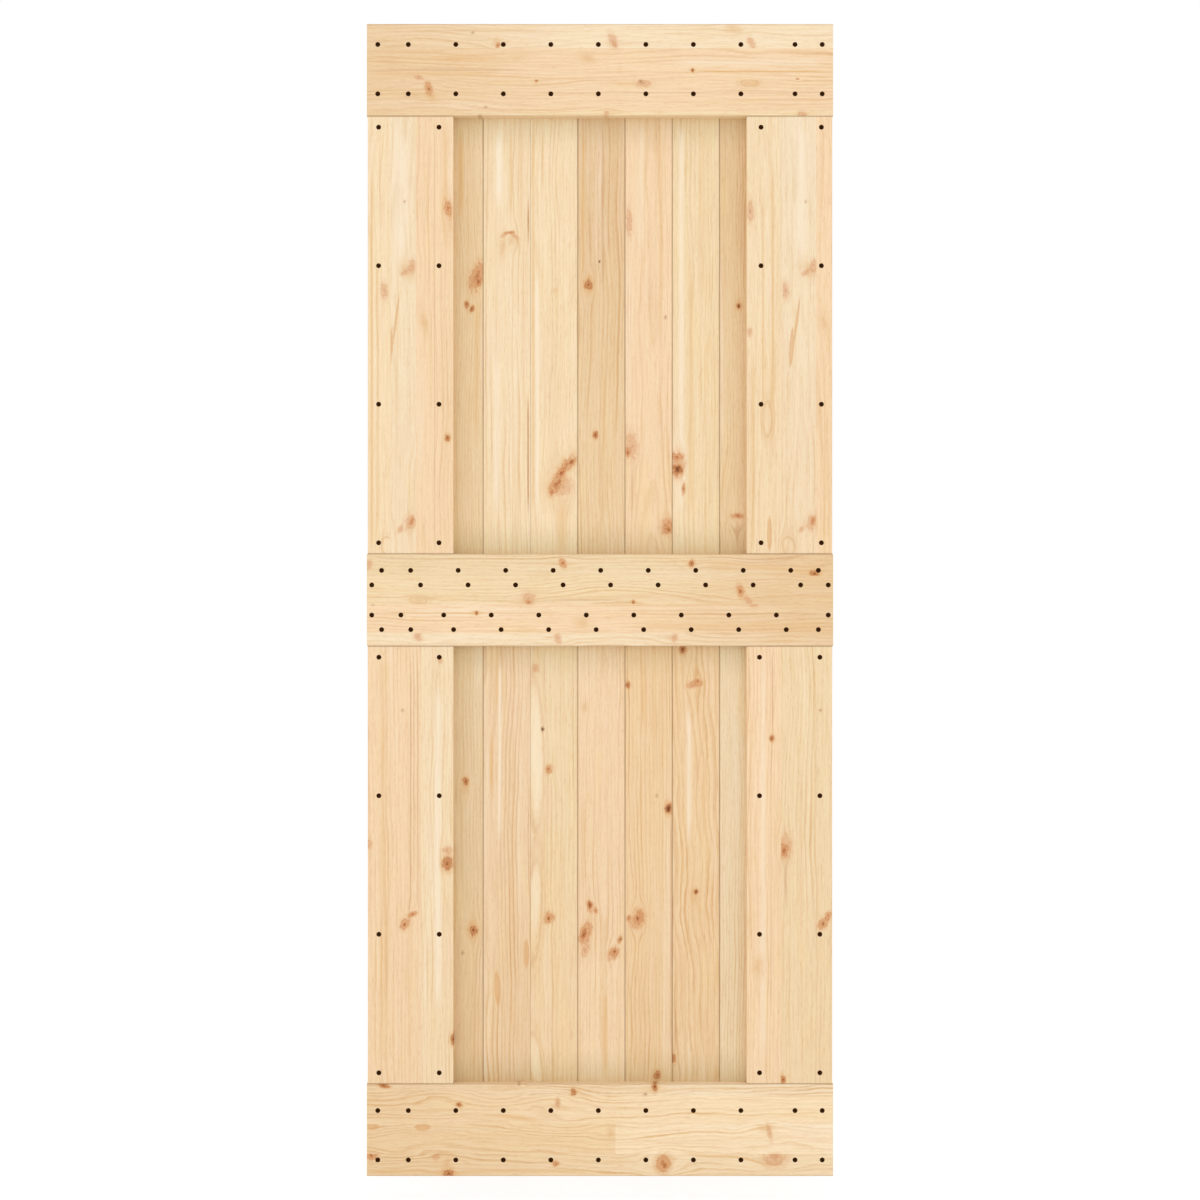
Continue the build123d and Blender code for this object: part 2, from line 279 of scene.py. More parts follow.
# Frame boards are glued up from strips, each with its own tone and heart.
# strips: where each starts across the grain, tone, shade, and the heart's place across and behind the face.
# knots: right, down, half width across the grain, kind, then length to width and tilt where they differ.
# streaks: across, from, to, half width, stain, strength.
# fades: from, to, tone, strength.
# bends: right, down and radius of a swirl in the grain without a knot.
# patches: pieces let into a strip, from, to, across from, across to, tone, shade.
frameBoards = {
    "top_rail": {
        "grain": "right", "seed": 11, "ring": 5.5, "contrast": 0.36, "wander": 22.0,
        "strips": [
            (-9, "cream", 1.01, 75, 55), (44.5, "rose", 1.0, 20, 70), (101.7, "rose", 0.99, 190, 60),
            (159, "straw", 0.99, 60, 80),
        ],
        "fades": [(460, 0, "tan", 0.7)],
        "knots": [
            (193, 16, 2.6, "pin"), (239, 39, 6, "tawny", 0.6, 0.4), (234, 33, 9, "amber", 0.5, 0.5),
            (113, 118, 11, "tawny", 0.55, -0.25), (117, 132, 7, "amber", 1.6, 0.6),
            (95, 99, 5, "rose", 1.8, 0.5), (309, 103, 3.5, "tawny", 0.9, 0), (448, 30, 13, "rose", 0.5, -0.3),
            (452, 38, 5, "rose", 0.7, -0.4), (505, 108, 6.5, "rose", 2.0, 0), (499, 105, 3, "pin"),
            (594, 85, 3.6, "red", 0.7, 0), (701, 35, 11, "rose", 0.5, -0.5), (699, 108, 6, "amber", 3.0, 0),
            (697, 107, 6, "ghost", 3.0, 0), (785, 101, 2.4, "tawny"), (437, 161, 7, "rose", 0.6, 0),
            (794, 165, 5, "rose", 1.6, 0), (667, 6, 11, "amber", 1.4, 0.4), (402, 62, 9, "amber", 1.6, 0.4),
            (217, 152, 2.2, "pin"), (206, 167, 2.6, "pin"),
        ],
        "streaks": [
            (87, 590, 850, 2.2, "amber", 0.75), (84, 0, 300, 1.5, "brown", 0.5),
            (81, 60, 230, 1.4, "brown", 0.3), (91, 0, 250, 5, "amber", 0.35), (109, 440, 505, 3, "amber", 0.8),
            (63, 120, 250, 8, "amber", 0.4), (12, 100, 330, 2, "brown", 0.25),
            (126, 300, 850, 1.8, "brown", 0.25), (70, 550, 850, 10, "pale", 0.35),
        ],
    },
    "middle_rail": {
        "grain": "right", "seed": 23, "ring": 5.0, "contrast": 0.38, "wander": 18.0,
        "bends": [(815, 980, 20), (640, 996, 14)],
        "strips": [
            (950, "straw", 0.94, 930, 55), (1005.7, "straw", 0.97, 1080, 50), (1057.5, "rose", 1.0, 1010, 70),
            (1110.5, "cream", 0.99, 1170, 60),
        ],
        "fades": [(420, 850, "tan", 0.95)],
        "knots": [
            (357, 983, 9, "tawny", 0.55, -0.4), (295, 1047, 10, "rose", 1.1, 0), (295, 1054, 3, "tawny"),
            (200, 1074, 3.4, "red", 0.8, 0), (93, 1116, 9, "rose", 0.7, -0.4),
            (348, 1120, 9, "rose", 0.6, -0.3), (94, 1050, 7, "ghost", 2.6, 0.1), (94, 1051, 8, "amber", 1.6, 0),
            (11, 1058, 2.6, "pin"), (3, 985, 8, "rose", 0.8, 0), (592, 983, 6, "red", 0.8, 0.3),
            (816, 1002, 6, "red", 1.4, 0.3), (681, 1033, 11, "tawny", 0.55, -0.3),
            (680, 1034, 4, "red", 0.7, -0.3), (695, 1051, 5, "rose", 1.8, 0.6),
            (704, 1058, 5, "rose", 1.6, 0.3), (486, 1054, 3.6, "red", 0.8, 0), (561, 1118, 8, "rose", 0.6, 0.3),
            (393, 1091, 9, "amber", 1.6, 0.2),
        ],
        "streaks": [
            (1074, 0, 370, 2.0, "amber", 0.6), (1050, 300, 480, 2.2, "brown", 0.4),
            (975, 0, 420, 1.8, "brown", 0.35), (1098, 480, 850, 10, "amber", 0.3),
            (990, 600, 850, 8, "amber", 0.4), (976, 590, 800, 1.5, "brown", 0.55),
            (982, 640, 780, 1.4, "brown", 0.4), (1075, 560, 850, 1.4, "brown", 0.35),
        ],
    },
    "bottom_rail": {
        "grain": "right", "seed": 37, "ring": 6.5, "contrast": 0.64, "wander": 34.0, "curl": 8.0,
        "bends": [(335, 1984, 24), (120, 1968, 18), (250, 1942, 16), (734, 2040, 18), (60, 2040, 16)],
        "strips": [
            (1900, "cream", 0.99, 1850, 40), (1953, "ivory", 1.03, 2040, 40), (2004.8, "straw", 1.0, 2080, 34),
            (2059.5, "ivory", 0.98, 2140, 40),
        ],
        "fades": [(640, 0, "tan", 0.68)],
        "patches": [(453, 860, 2004.8, 2059.5, "cream", 1.04)],
        "knots": [
            (31, 1935, 4, "red", 2.4, 0.2), (168, 1970, 4, "red", 1.2, 0.6), (377, 1947, 7, "red", 0.7, 0),
            (348, 1966, 9, "rose", 0.4, 0), (11, 2009, 7, "resin", 1.8, 0), (102, 2011, 7, "resin", 2.4, 0),
            (127, 2064, 8, "rose", 0.7, 0.5), (146, 2078, 13, "amber", 0.6, 0.3), (149, 2095, 7, "red"),
            (7, 2062, 8, "tawny", 1.4, 0), (344, 2077, 4.5, "tawny", 1.2, 0), (277, 1933, 2.2, "pin"),
            (525, 1938, 8, "red", 0.6, 0), (508, 1951, 3, "pin"), (444, 2020, 12, "amber", 0.6, 0),
            (734, 2020, 13, "rose", 0.3, -0.2), (726, 2010, 9, "amber", 1.6, 0.4),
            (540, 2077, 14, "tawny", 0.8, 0.2), (543, 2081, 5, "red", 0.7, 0.4),
            (540, 2077, 17, "ghost", 0.85, 0.2), (743, 2069, 13, "rose", 1.3, 0),
            (743, 2062, 19, "ghost", 1.2, 0), (743, 2064, 5, "rose", 1.4, 0),
        ],
        "streaks": [
            (2064, 570, 760, 3, "amber", 0.7), (1990, 210, 330, 4, "amber", 0.5),
            (2090, 0, 420, 4, "amber", 0.4),
        ],
    },
    "upper_left_stile": {
        "grain": "down", "seed": 41, "ring": 7.0, "contrast": 0.3, "wander": 18.0,
        "strips": [(0, "ivory", 1.0, -20, 40), (43, "cream", 0.98, 62, 26), (89.5, "rose", 0.99, 40, 80)],
        "fades": [(300, 1000, "honey", 0.25)],
        "knots": [
            (69, 324, 2, "pin"), (148, 336, 6, "tawny", 2.2, 0.1), (150, 350, 8, "amber", 5.0, 0.1),
            (76, 449, 11, "amber", 1.5, 0.5), (83, 441, 6, "rose", 2.0, -0.2), (69, 453, 4, "rose", 2.0, -0.9),
            (32, 486, 6, "rose", 2.4, 0.05), (105, 544, 8, "amber", 2.4, 0.2), (147, 754, 4.6, "red", 1.3, 0),
            (80, 908, 9, "rose", 1.6, -0.3), (82, 906, 3.4, "tawny", 2.0, -0.3),
            (61, 921, 4, "rose", 1.8, -0.5), (38, 952, 13, "ghost", 1.5, 0.2),
            (43, 590, 4.5, "resin", 9.0, -0.06), (53, 540, 2.4, "resin", 20.0, -0.13),
        ],
        "streaks": [
            (123.5, 170, 966, 1.5, "brown", 0.3), (9, 260, 966, 3, "amber", 0.6),
            (20, 420, 966, 3, "amber", 0.4), (62, 170, 440, 14, "pale", 0.5), (143, 170, 420, 5, "amber", 0.4),
        ],
    },
    "upper_right_stile": {
        "grain": "down", "seed": 43, "ring": 7.0, "contrast": 0.3, "wander": 18.0,
        "strips": [(690, "ivory", 0.98, 728, 26), (753, "cream", 0.97, 786, 26), (819.3, "rose", 1.0, 780, 80)],
        "fades": [(300, 1000, "honey", 0.3)],
        "knots": [
            (699, 342, 6, "rose", 3.0, 0), (800, 324, 2, "pin"), (807, 449, 11, "amber", 1.5, 0.5),
            (814, 441, 6, "rose", 2.0, -0.2), (800, 453, 4, "rose", 2.0, -0.9),
            (763, 486, 6, "rose", 2.4, 0.05), (833, 544, 8, "amber", 2.4, 0.2),
            (811, 908, 9, "rose", 1.6, -0.3), (813, 906, 3.4, "tawny", 2.0, -0.3),
            (792, 921, 4, "rose", 1.8, -0.5), (698, 562, 4, "rose", 2.0, 0), (769, 952, 13, "ghost", 1.5, 0.2),
            (774, 590, 4.5, "resin", 9.0, -0.06), (784, 540, 2.4, "resin", 20.0, -0.13),
            (734, 930, 5, "resin", 7.0, 0), (730, 720, 9, "ghost", 4.0, 0),
        ],
        "streaks": [
            (740, 250, 760, 3, "amber", 0.55), (722, 300, 760, 3, "amber", 0.45),
            (792, 170, 440, 14, "pale", 0.5), (704, 600, 966, 4, "amber", 0.4),
        ],
    },
    "lower_left_stile": {
        "grain": "down", "seed": 47, "ring": 6.5, "contrast": 0.4, "wander": 14.0,
        "strips": [(0, "rose", 0.98, -60, 60), (99, "ivory", 0.97, 200, 40)],
        "fades": [(1200, 2000, "honey", 0.25)],
        "knots": [
            (147, 1530, 9, "red", 1.4, 0), (147, 1506, 9, "rose", 0.7, 0), (69, 1641, 7, "tawny", 1.4, -0.4),
            (83, 1623, 8, "tawny", 0.5, 0.4), (158, 1851, 6, "red", 1.6, 0), (65, 1251, 2.2, "pin"),
            (134, 1160, 4, "rose"), (3, 1495, 6, "rose", 1.4, 0),
        ],
        "streaks": [
            (80, 1160, 1640, 1.4, "brown", 0.6), (86, 1140, 1560, 1.2, "brown", 0.4),
            (93, 1140, 1640, 1.6, "brown", 0.4), (130, 1200, 1800, 9, "pale", 0.6),
            (30, 1140, 1900, 8, "amber", 0.25),
        ],
    },
    "lower_right_stile": {
        "grain": "down", "seed": 53, "ring": 6.5, "contrast": 0.4, "wander": 14.0,
        "strips": [(690, "rose", 1.0, 600, 60), (755, "straw", 0.95, 900, 60)],
        "fades": [(1200, 2000, "honey", 0.25)],
        "knots": [
            (738, 1302, 4, "red"), (760, 1506, 8, "tawny", 1.4, 0), (762, 1500, 12, "rose", 1.8, 0),
            (831, 1640, 7, "tawny", 1.5, -0.5), (841, 1626, 5, "tawny", 1.6, -0.5), (827, 1251, 2.2, "pin"),
            (758, 1924, 5, "red"), (712, 1718, 9, "amber", 1.8, 0),
        ],
        "streaks": [
            (739, 1134, 1300, 1.6, "brown", 0.6), (737, 1300, 1800, 1.5, "brown", 0.3),
            (763, 1510, 1620, 3, "brown", 0.5), (722, 1140, 1900, 7, "pale", 0.35),
        ],
    },
}

# Panel boards are single boards; those that the frame hides get a plain dressing of their own.
panelBoards = {
    "upper_board_2": {
        "tone": "dun", "shade": 1.0, "heart": (330, 40), "ring": 5.0, "contrast": 0.38,
        "knots": [
            (199, 458, 11, "tawny", 2.2, -0.25), (202, 466, 5, "tawny", 1.8, -0.2),
            (190, 517, 4, "red", 1.5, -0.6), (181, 509, 4, "red", 1.4, 0),
        ],
        "streaks": [(170, 180, 360, 6, "amber", 0.7), (199, 480, 760, 5, "amber", 0.5)],
    },
    "upper_board_3": {
        "tone": "ivory", "shade": 0.98, "heart": (246, 20), "ring": 9.0, "contrast": 0.4,
        "knots": [
            (250, 381, 8, "rose", 0.35, 0.5), (259, 377, 8, "tawny", 0.3, 0.1),
            (269, 383, 9, "rose", 0.35, -0.7), (275, 396, 3, "amber", 4.0, 0.2), (246, 404, 5, "amber", 4.0, 0),
            (262, 390, 10, "amber"),
        ],
        "streaks": [
            (262, 170, 370, 2.5, "amber", 0.55), (294, 305, 405, 2.2, "brown", 1.0),
            (293.5, 670, 900, 2.2, "brown", 0.9), (240, 180, 340, 8, "pale", 0.8),
            (281, 160, 400, 2.5, "amber", 0.4), (236, 600, 900, 8, "pale", 0.5),
        ],
    },
    "upper_board_4": {
        "tone": "ivory", "shade": 0.99, "heart": (300, 40), "ring": 6.0, "contrast": 0.3,
        "knots": [
            (352, 822, 19, "amber", 2.2, -0.6), (365, 803, 8, "tawny", 2.4, -0.75),
            (343, 841, 9, "tawny", 1.7, -0.5), (373, 797, 3.4, "red", 1.6, -0.6),
            (347, 836, 3, "red", 2.4, -0.8), (354, 817, 6, "tawny", 1.8, -0.7),
            (337, 853, 3, "tawny", 2.4, -0.4), (358, 843, 14, "rose", 1.1, -0.4), (342, 483, 4, "amber"),
        ],
        "streaks": [
            (303, 170, 900, 4, "amber", 0.35), (320, 170, 300, 3, "amber", 0.4),
            (356, 850, 980, 12, "amber", 0.5), (310, 440, 900, 5, "pale", 0.6),
        ],
    },
    "upper_board_5": {
        "tone": "tan", "shade": 0.98, "heart": (432, 22), "ring": 7.0, "contrast": 0.5,
        "fades": [(330, 800, "dun", 0.85)],
        "knots": [
            (404, 472, 7, "red", 1.25, 0), (404, 472, 11, "amber", 1.9, 0), (417, 747, 5, "red"),
            (424, 430, 2, "spot"),
        ],
        "streaks": [
            (430, 170, 480, 2.5, "brown", 0.45), (395, 170, 480, 3, "amber", 0.6),
            (433, 600, 900, 4, "amber", 0.3),
        ],
    },
    "upper_board_6": {
        "tone": "rose", "shade": 0.99, "heart": (520, 60), "ring": 5.0, "contrast": 0.4,
        "fades": [(600, 960, "honey", 0.5)],
        "knots": [
            (478, 355, 5, "rose", 4.4, 0.05), (482, 768, 11, "rose", 2.2, 0.1),
            (476, 780, 4, "tawny", 1.8, 0.2), (549, 918, 8, "tawny", 1.3, 0), (551, 921, 3, "red"),
            (547, 914, 11, "rose", 1.3, -0.4), (545, 532, 2.4, "pin"),
        ],
        "streaks": [
            (536, 170, 600, 4, "amber", 0.35), (484, 790, 900, 2.5, "brown", 0.5), (500, 170, 420, 8, "pale", 0.3),
        ],
    },
    "upper_board_7": {
        "tone": "straw", "shade": 0.97, "heart": (560, 50), "ring": 6.0, "contrast": 0.3,
        "knots": [
            (567, 811, 9, "dark", 1.15, 0), (566, 788, 9, "tawny", 0.7, 0), (567, 800, 13, "rose", 1.5, 0),
            (578, 846, 3, "tawny", 3.4, 0),
        ],
        "streaks": [
            (592, 450, 900, 5, "amber", 0.35), (574, 170, 900, 6, "pale", 0.6), (614, 170, 500, 6, "amber", 0.25),
        ],
    },
    "upper_board_8": {
        "tone": "tan", "shade": 0.99, "heart": (720, 40), "ring": 5.0, "contrast": 0.42,
        "fades": [(280, 640, "dun", 0.7)],
        "knots": [
            (679, 512, 4, "dark"), (679, 512, 8, "amber", 1.6, 0), (676, 896, 13, "rose", 0.4, 0),
            (677, 896, 7, "tawny", 0.5, 0),
        ],
        "bends": [(676, 866, 20)],
        "streaks": [
            (676, 900, 966, 1.8, "brown", 0.8), (656, 780, 900, 3, "amber", 0.5), (668, 860, 890, 12, "pale", 0.4),
        ],
    },
    "lower_board_2": {
        "tone": "dun", "shade": 0.95, "heart": (150, 50), "ring": 5.0, "contrast": 0.4,
        "fades": [(1450, 1950, "tan", 0.8)],
        "knots": [
            (179, 1382, 5, "red"), (178, 1395, 8, "amber", 2.5, 0), (193, 1655, 7, "red", 1.3, 0),
            (193, 1655, 11, "amber", 1.8, 0), (173, 1697, 3, "pin"),
        ],
        "streaks": [],
    },
    "lower_board_3": {
        "tone": "rose", "shade": 0.93, "heart": (200, 50), "ring": 6.5, "contrast": 0.6,
        "fades": [(1300, 1950, "tan", 0.55)],
        "knots": [(237, 1762, 6, "resin", 6.0, 0.04), (290, 1698, 6, "resin", 5.0, 0)],
        "streaks": [
            (226, 1280, 1420, 4, "amber", 0.7), (235, 1140, 1270, 4, "amber", 0.5),
            (241, 1150, 1500, 4, "pale", 0.6),
        ],
    },
    "lower_board_4": {
        "tone": "straw", "shade": 0.95, "heart": (296, 26), "ring": 8.0, "contrast": 0.45,
        "fades": [(1300, 1950, "honey", 0.6)],
        "knots": [
            (309, 1330, 12, "sap", 12.0, 0.03), (305, 1330, 19, "ghost", 8.5, 0.02),
            (305, 1620, 15, "ghost", 7.0, -0.04), (307, 1590, 9, "sap", 8.0, -0.05),
            (308, 1900, 9, "sap", 6.0, 0.1), (307, 1900, 13, "ghost", 5.0, 0.12),
            (307, 1175, 6, "rose", 1.3, 0), (320, 1287, 3, "spot"), (331, 1360, 5.5, "tawny", 1.3, -0.4),
            (331, 1633, 8, "tawny", 1.3, -0.5), (331, 1634, 2.6, "red"),
        ],
        "streaks": [(323, 1140, 1230, 2, "brown", 0.4), (312, 1150, 1560, 7, "pale", 0.25)],
    },
    "lower_board_5": {
        "tone": "rose", "shade": 0.96, "heart": (430, 26), "ring": 6.5, "contrast": 0.4,
        "fades": [(1690, 1735, "ivory", 0.35)],
        "knots": [
            (397, 1245, 6, "amber", 1.8, 0), (407, 1609, 4.5, "red", 1.5, 0.2),
            (407, 1612, 6, "rose", 2.0, 0.2), (417, 1619, 3.4, "tawny", 1.4, 0),
            (397, 1662, 9, "tawny", 2.3, -0.35), (395, 1663, 4, "red", 2.4, -0.3),
            (398, 1690, 6, "rose", 2.4, -0.3), (462, 1672, 4, "tawny", 1.5, -0.4), (463, 1671, 2, "spot"),
            (451, 1695, 7, "tawny", 1.2, -0.5), (452, 1694, 2.4, "red"), (448, 1700, 8, "rose", 1.4, -0.5),
        ],
        "streaks": [(435, 1760, 1940, 6, "amber", 0.6), (395, 1400, 1600, 6, "amber", 0.3)],
    },
    "lower_board_6": {
        "tone": "honey", "shade": 1.0, "heart": (450, 60), "ring": 5.5, "contrast": 0.5,
        "fades": [(1500, 1950, "tan", 0.65)],
        "knots": [
            (476, 1205, 4, "red", 1.4, 0), (466, 1177, 3, "tawny", 1.6, 0), (551, 1432, 6, "dark", 1.6, 0.1),
            (496, 1632, 9, "tawny", 1.3, -0.3), (496, 1634, 10, "ghost", 1.4, -0.4), (494, 1633, 3.4, "dark"),
            (493, 1636, 11, "rose", 1.5, -0.5), (478, 1632, 3.4, "tawny", 1.6, -0.4), (529, 1921, 6, "red"),
            (529, 1408, 3, "pin"),
        ],
        "streaks": [(555, 1430, 1900, 1.6, "brown", 0.6), (505, 1140, 1300, 5, "amber", 0.3)],
    },
    "lower_board_7": {
        "tone": "honey", "shade": 1.0, "heart": (600, 26), "ring": 10.5, "contrast": 0.5,
        "wander": 54.0, "curl": 10.0,
        "fades": [(1400, 1950, "tan", 0.5)],
        "knots": [
            (576, 1141, 6, "red"), (602, 1203, 12, "tawny", 0.45, 0.2), (603, 1199, 5, "tawny", 0.8, 0.4),
            (590, 1208, 6, "rose", 0.7, 0), (601, 1584, 4, "dark", 1.2, 0), (598, 1592, 7, "amber", 2.0, 0.2),
            (560, 1890, 4, "red", 2.0, 0), (642, 1917, 8, "amber"),
        ],
        "streaks": [
            (563, 1790, 1890, 2.4, "brown", 0.7), (588, 1240, 1500, 6, "pale", 0.6),
            (641, 1690, 1780, 4, "amber", 0.6),
        ],
    },
    "lower_board_8": {
        "tone": "ivory", "shade": 0.93, "heart": (760, 50), "ring": 5.0, "contrast": 0.45,
        "knots": [],
        "streaks": [],
    },
}


def frontFace(node):
    # Edges of the board's front face in millimetres: left, right, top, bottom.
    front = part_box(node)[0].y
    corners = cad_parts[node].data.vertices
    points = [vertex.co for vertex in corners if abs(vertex.co.y - front) < leaf["close"]]
    rights = [(point.x - leaf["left"]) * leaf["scale"] for point in points]
    downs = [(leaf["top"] - point.z) * leaf["scale"] for point in points]
    return min(rights), max(rights), min(downs), max(downs)


# Boards whose fronts the frame covers: ranges that each board draws from by its own seed.
hidden = {
    "sideMargin": 8,         # knots keep clear of the board's sides and ends
    "endMargin": 60,
    "knotSizes": (4, 9),
    "knotKinds": ("red", "rose", "dark"),
    "tones": ["cream", "straw", "rose", "honey"],
    "shades": (0.95, 1.0),
    "heartOffset": 60,       # the heart lies up to this far beside the board
    "heartDepths": (24, 60),
    "rings": (5, 8),
    "contrasts": (0.35, 0.55),
}


def hiddenBoard(node):
    draw = random.Random(node)
    left, right, top, bottom = frontFace(node)
    side, end, offset = hidden["sideMargin"], hidden["endMargin"], hidden["heartOffset"]
    knots = []
    for kind in hidden["knotKinds"]:
        place = (draw.uniform(left + side, right - side), draw.uniform(top + end, bottom - end))
        knots.append((*place, draw.uniform(*hidden["knotSizes"]), kind))
    return {
        "tone": draw.choice(hidden["tones"]), "shade": draw.uniform(*hidden["shades"]),
        "heart": (draw.uniform(left - offset, right + offset), draw.uniform(*hidden["heartDepths"])),
        "ring": draw.uniform(*hidden["rings"]), "contrast": draw.uniform(*hidden["contrasts"]),
        "knots": knots, "streaks": [],
    }


# How the panel boards sit in the leaf.
panel = {
    "tightJoint": ("_board_3", "_board_4"),      # these two close up without a line
    "bays": {"upper": ("top_rail", "middle_rail"), "lower": ("middle_rail", "bottom_rail")},
    # painted shade: how strongly the panel darkens beside the frame on each side, standing in for the recess's
    # shadow
    "paintedRecessShades": {"above": 0.55, "below": 0.65, "left": 0.35, "right": 0.2},     # beside the frame
    "wander": 14.0,                              # of the heart along a board
    "seeds": 97,
}


def boardWood(node):
    left, right, top, bottom = frontFace(node)
    if node in frameBoards:
        return {**frameBoards[node], "joints": [("down", top), ("down", bottom)], "corners": [], "face": 0.0}
    board = {"fades": [], **(panelBoards.get(node) or hiddenBoard(node))}
    board["strips"] = [(0, board["tone"], board["shade"], *board["heart"])]
    joints = [("right", left), ("right", right)]
    if node.endswith(panel["tightJoint"][0]):
        joints = joints[:1]
    if node.endswith(panel["tightJoint"][1]):
        joints = joints[1:]
    bay = node.split("_")[0]
    upper, lower = panel["bays"][bay]
    # the bay's edges, where painted shade darkens the panel beside the frame
    edges = {
        "above": frontFace(upper)[3], "below": frontFace(lower)[2],
        "left": frontFace(bay + "_left_stile")[1], "right": frontFace(bay + "_right_stile")[0],
    }
    corners = [(edge, side, panel["paintedRecessShades"][side]) for side, edge in edges.items()]
    return {
        "wander": panel["wander"], **board, "grain": "down", "seed": sum(map(ord, node)) % panel["seeds"],
        "joints": joints, "corners": corners, "face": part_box(node)[0].y * leaf["scale"],
    }


def shaded(tone, shade):
    return tuple(value * shade for value in tones[tone][:3]) + (1.0,)


# Noise in the wood: size across, into and along the grain, how the board's seed shifts each, and detail.
pineNoise = {
    "ragged": ((5, 5, 9), (0, 0, 1), 3.0),          # outlines of knots and streaks
    "ripple": ((45, 45, 210), (0, 1, 0), 2.0),      # slow waves in the rings
    "curl": ((13, 13, 55), (0, 1, 0), 2.0),         # quick waves in the rings
    "clear": ((36, 40, 240), (1, 0, -1), 2.0),      # where rings fade
    "broad": ((26, 40, 520), (1, 0, 1), 2.0),       # pale and tan bands
    "band": ((7, 20, 800), (1, 0, -1), 2.0),        # amber bands
    "hue": ((17, 30, 130), (-1, 0, 1), 3.0),        # golden and pink clouds
    "fibre": ((2.0, 2.0, 60), (0, 1, 0), 3.0),
    "fleck": ((1.3, 1.3, 12), (0, -1, 0), 1.0),
    "speck": ((1.8, 1.8, 2.6), (0, 0, 1), 2.0),     # breaks up the rings of knots
}

# Tints that noise lays over the board's tone: noise, where it starts and is full, strength, colour.
pineTints = [
    ("broad", 0.02, 0.3, 0.4, stains["pale"]),
    ("broad", -0.02, -0.3, 0.3, tones["tan"]),
    ("band", 0.02, 0.3, 0.35, stains["amber"]),
    ("hue", 0.02, 0.25, 0.32, stains["gold"]),
    ("hue", -0.02, -0.25, 0.32, stains["pink"]),
]

# The rest of the pine, in millimetres and parts of 1.
pine = {
    "seedStep": 3.71,
    "knotShape": (1.3, 0.0),     # length to width and tilt of a knot that gives none
    "bendReach": (4.0, 1.8),     # how far a knot bends the grain along and across, in its radii
    "bendFade": (1.3, 0.1),
    "bend": 0.75,
    "glowFade": (1.0, 0.1),
    "glow": 0.3,
    "hoops": 0.8,                # rings of a knot, by its radius
    "hoopEdge": (0.4, 0.8),
    "hoopBreaks": (-0.2, 0.12),
    "hoopShade": 0.5,
    "swayLength": 330,           # the heart wanders sideways and in depth over such lengths
    "dipLength": 420,
    "dipShift": 9,
    "ripple": 9,
    "curl": 3.0,
    "ringSpread": (17, 1.6),     # rings vary in width over such a distance, by so many rings
    "ringDarkens": (0.35, 0.85),
    "ringEnds": (1.0, 0.86),
    "weightSize": (1.7, 500),    # some rings are darker: in rings, and along the grain
    "weightShift": 4,
    "weightRange": (-0.2, 0.3),
    "weight": (1.3, 0.1),
    "clearRange": (-0.22, 0.22),
    "clear": (0.9, 0.45),
    "fibreRange": (-0.1, 0.35),
    "fibreShade": 0.4,
    "fleckRange": (0.0, 0.3),
    "fleckShade": 0.35,
    "streakWander": (2, 1.2),    # by the heart's sway and by the ragged noise
    "streakEnds": (10, 50),      # a streak fades in over such lengths before and after its end
    "streakEdge": (1.3, 0.0),
    # painted shade beside the frame: how far it reaches into the panel, in millimetres
    "paintedShadeReach": 70,
    "faceDepth": 0.5,            # the shade beside the frame stays on the front face
    "jointEdge": (1.1, 0.3),
    "jointShade": 0.33,
    "bump": {"Strength": 0.12, "Distance": 0.0004},
    "bumpHeights": (0.5, 0.8),   # of rings and fibres
    "roughness": (-0.08, 0.15, 0.62),
    "ior": 1.42,
}


